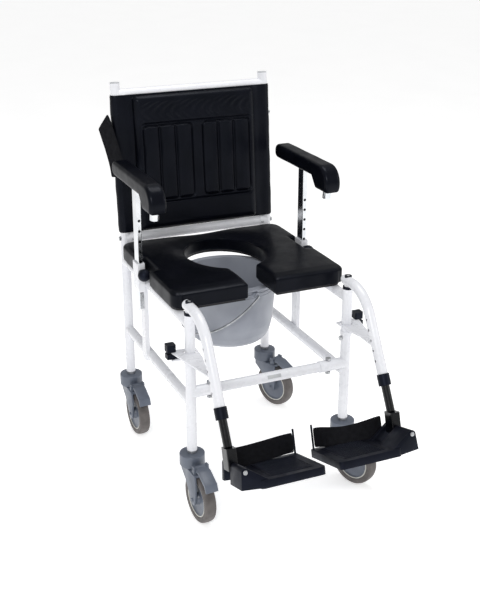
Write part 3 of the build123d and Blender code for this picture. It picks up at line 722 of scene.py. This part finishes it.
def make_tread(side):
    """Low ribs across the plate, with a border round them."""
    points, faces = [], []

    def bar(low_x, high_x, low_y, high_y, rise):
        base = len(points)
        layers = (TREAD_TOP - 0.0008, 0.0), (TREAD_TOP + rise * 0.6, 0.0), (TREAD_TOP + rise, 0.0005)
        for z, shrink in layers:
            for x, y in (
                (low_x + shrink, low_y + shrink), (high_x - shrink, low_y + shrink),
                (high_x - shrink, high_y - shrink), (low_x + shrink, high_y - shrink),
            ):
                points.append(on_sole(side, x, y, z))
        for layer in (0, 4):
            faces.extend(between_rings(4, base + layer, base + layer + 4))
        faces.append((base + 8, base + 9, base + 10, base + 11))
        faces.append((base, base + 3, base + 2, base + 1))

    for k in range(19):
        y = -0.058 + k * 0.0055
        bar(0.070, 0.164, y, y + 0.0024, 0.0009)
    bar(0.065, 0.169, TREAD_FRONT, -0.0625, 0.0011)
    bar(0.065, 0.169, 0.0470, TREAD_BACK, 0.0011)
    bar(TREAD_LEFT, 0.0665, TREAD_FRONT, TREAD_BACK, 0.0011)
    bar(0.1675, TREAD_RIGHT, TREAD_FRONT, TREAD_BACK, 0.0011)
    tread = mesh_object(f"plate_tread_{side}", points, faces)
    smooth(tread, 30)
    place(tread, f"footplate_{side}", "black_plastic")


def make_plate(side):
    plate = softened(f"footplate_{side}", f"foot_plate_{side}", 0.0016)
    place(plate, f"footplate_{side}", "black_plastic", f"footplate_{side}")
    make_tread(side)
    screw_profile = [
        (0.0, 0.0001), (0.0, 0.0052), (0.0014, 0.0050), (0.0022, 0.0036), (0.0022, 0.0018), (0.0010, 0.0001),
    ]
    forward = on_sole(side, 0, -1, 0) - HINGE[side]
    screw = lathe(f"plate_screw_{side}", screw_profile, on_sole(side, 0, -0.0818, 0.0), forward, 28)
    smooth(screw, 40)
    place(screw, f"footplate_{side}", "zinc")


for side in SIDES:
    make_heel_strap(side)
    make_plate(side)


# ---------------------------------------------------------------- lap strap
def make_lap_strap():
    """The end of the lap strap, stiff enough to stand off its screw, hanging down outside the left post."""
    centre = on_back(-0.232, 0.300, 0.0)
    right = Vector((-0.5, 0.86, -0.1)).normalized()
    out = Vector((-0.86, -0.5, 0.1)).normalized()
    down = out.cross(right).normalized()
    spine = [(0.017, -0.014), (0.002, 0.020), (-0.012, 0.054), (-0.024, 0.094), (-0.029, 0.130)]
    flat = curve_through([Vector((a, b, 0)) for a, b in spine], 8)
    path, across = [], []
    for i, point in enumerate(flat):
        t = i / (len(flat) - 1)
        path.append(centre + right * point.x + down * point.y + out * (0.0012 + 0.003 * math.sin(3.0 * t)))
        ahead = flat[min(i + 1, len(flat) - 1)] - flat[max(i - 1, 0)]
        side_way = Vector((ahead.y, -ahead.x, 0)).normalized()
        slant = max(0.0, 1 - i / 3) * 0.5
        side_way = side_way + Vector((ahead.x, ahead.y, 0)).normalized() * slant
        across.append(right * side_way.x + down * side_way.y)
    strap = webbing("lap_webbing", path, across, 0.050)
    finer(strap)
    place(strap, "frame", "webbing", "lap_strap")


make_lap_strap()


# ---------------------------------------------------------------- castors
WHEEL_RADIUS = 0.0625
TRAIL = 0.045                # from the swivel axis back to the axle
# each corner's swivel axis and the degrees that its castor is turned
CORNERS = {
    "front_left": (-LEG_X, FRONT_Y, 4.0),
    "front_right": (LEG_X, FRONT_Y, 23.0),
    "rear_left": (-LEG_X, REAR_Y, 2.0),
    "rear_right": (LEG_X, REAR_Y, 22.0),
}


def make_wheel(corner, centre, axle):
    """The tyre, with a round tread and a bead each side, and the pale ring on each face of the hub."""
    profile = []
    for k in range(13):
        angle = math.pi * k / 12
        profile.append((-0.0143 * math.cos(angle), 0.0565 + 0.0057 * math.sin(angle) ** 0.6))
    bead = [(0.0146, 0.0530), (0.0140, 0.0482), (0.0120, 0.0470)]
    profile += bead + [(-along, radius) for along, radius in reversed(bead)]
    tyre = lathe(f"tyre_{corner}", profile, centre, axle, 96)
    smooth(tyre, 50)
    place(tyre, f"wheel_{corner}", "tyre_rubber", f"castor_tyre_{corner}")
    for end, label in ((-1, "near"), (1, "far")):
        section = [
            (end * 0.0118, 0.0438), (end * 0.0126, 0.0440), (end * 0.0128, 0.0462), (end * 0.0118, 0.0466),
        ]
        ring = lathe(f"ring_{label}_{corner}", section, centre, axle, 72)
        smooth(ring, 50)
        place(ring, f"wheel_{corner}", "bucket_plastic", look="wheel_ring")


def make_castor(corner):
    x, y, degrees = CORNERS[corner]
    turn = math.radians(degrees)
    axle = Vector((math.cos(turn), math.sin(turn), 0))
    make_wheel(corner, Vector((x + math.sin(turn) * TRAIL, y - math.cos(turn) * TRAIL, WHEEL_RADIUS)), axle)
    for part, body, width in (("fork", "castor", 0.0012), ("pedal", "pedal", 0.0011)):
        node = f"castor_{part}_{corner}"
        place(softened(node, f"{part}_{corner}", width), f"{body}_{corner}", "castor_plastic", node)


for corner in CORNERS:
    make_castor(corner)


# ---------------------------------------------------------------- bucket, label plate and screws
def make_bucket_bands():
    """The rolled lip of the flange and the two raised bands under it."""
    for label, height, radius, thick in (
        ("lip", 0.5090, 0.1392, 0.0023),
        ("band_high", 0.4905, 0.1229, 0.0011),
        ("band_low", 0.4810, 0.1221, 0.0009),
    ):
        profile = []
        for k in range(12):
            angle = 2 * math.pi * k / 12
            profile.append((height + thick * math.sin(angle), radius + 0.8 * thick * math.cos(angle)))
        band = lathe(f"bucket_{label}", profile, BUCKET_CENTRE, (0, 0, 1), 120)
        band.data.shade_smooth()
        place(band, "bucket", "bucket_plastic")


def make_label_plate():
    """A small blank plate bent to the front of the crossbar."""
    rings = []
    for k in range(9):
        x = -0.012 + 0.036 * k / 8
        ring = []
        for radius, turns in ((0.0131, (-16, -8, 0, 8, 16, 24)), (0.0126, (24, 16, 8, 0, -8, -16))):
            for degrees in turns:
                angle = math.radians(degrees + 20)
                out, up = radius * math.cos(angle), radius * math.sin(angle)
                ring.append(Vector((x, FRONT_Y - out, CROSSBAR_Z + up)))
        rings.append(ring)
    plate = loft("label_plate", rings)
    smooth(plate, 40)
    place(plate, "frame", "grey_plastic")


def make_screw(name, centre, axis, body, radius):
    """A domed screw head with a shallow cup in it."""
    profile = [
        (0.0, 0.0001), (0.0, radius), (0.0012, radius * 0.96), (0.0024, radius * 0.62),
        (0.0028, radius * 0.3), (0.0018, radius * 0.26), (0.0018, 0.0001),
    ]
    screw = lathe(name, profile, centre, axis, 32)
    smooth(screw, 40)
    place(screw, body, "zinc")


make_bucket_bands()
make_label_plate()
for side, sign in SIDES.items():
    make_screw(f"hanger_screw_{side}", (sign * LEG_X, FRONT_Y, 0.5602), (0, 0, 1), f"hanger_{side}", 0.0055)
    make_screw(f"rail_screw_{side}", (sign * 0.1905, 0.3515, 0.567), (0, -1, 0), "frame", 0.0034)
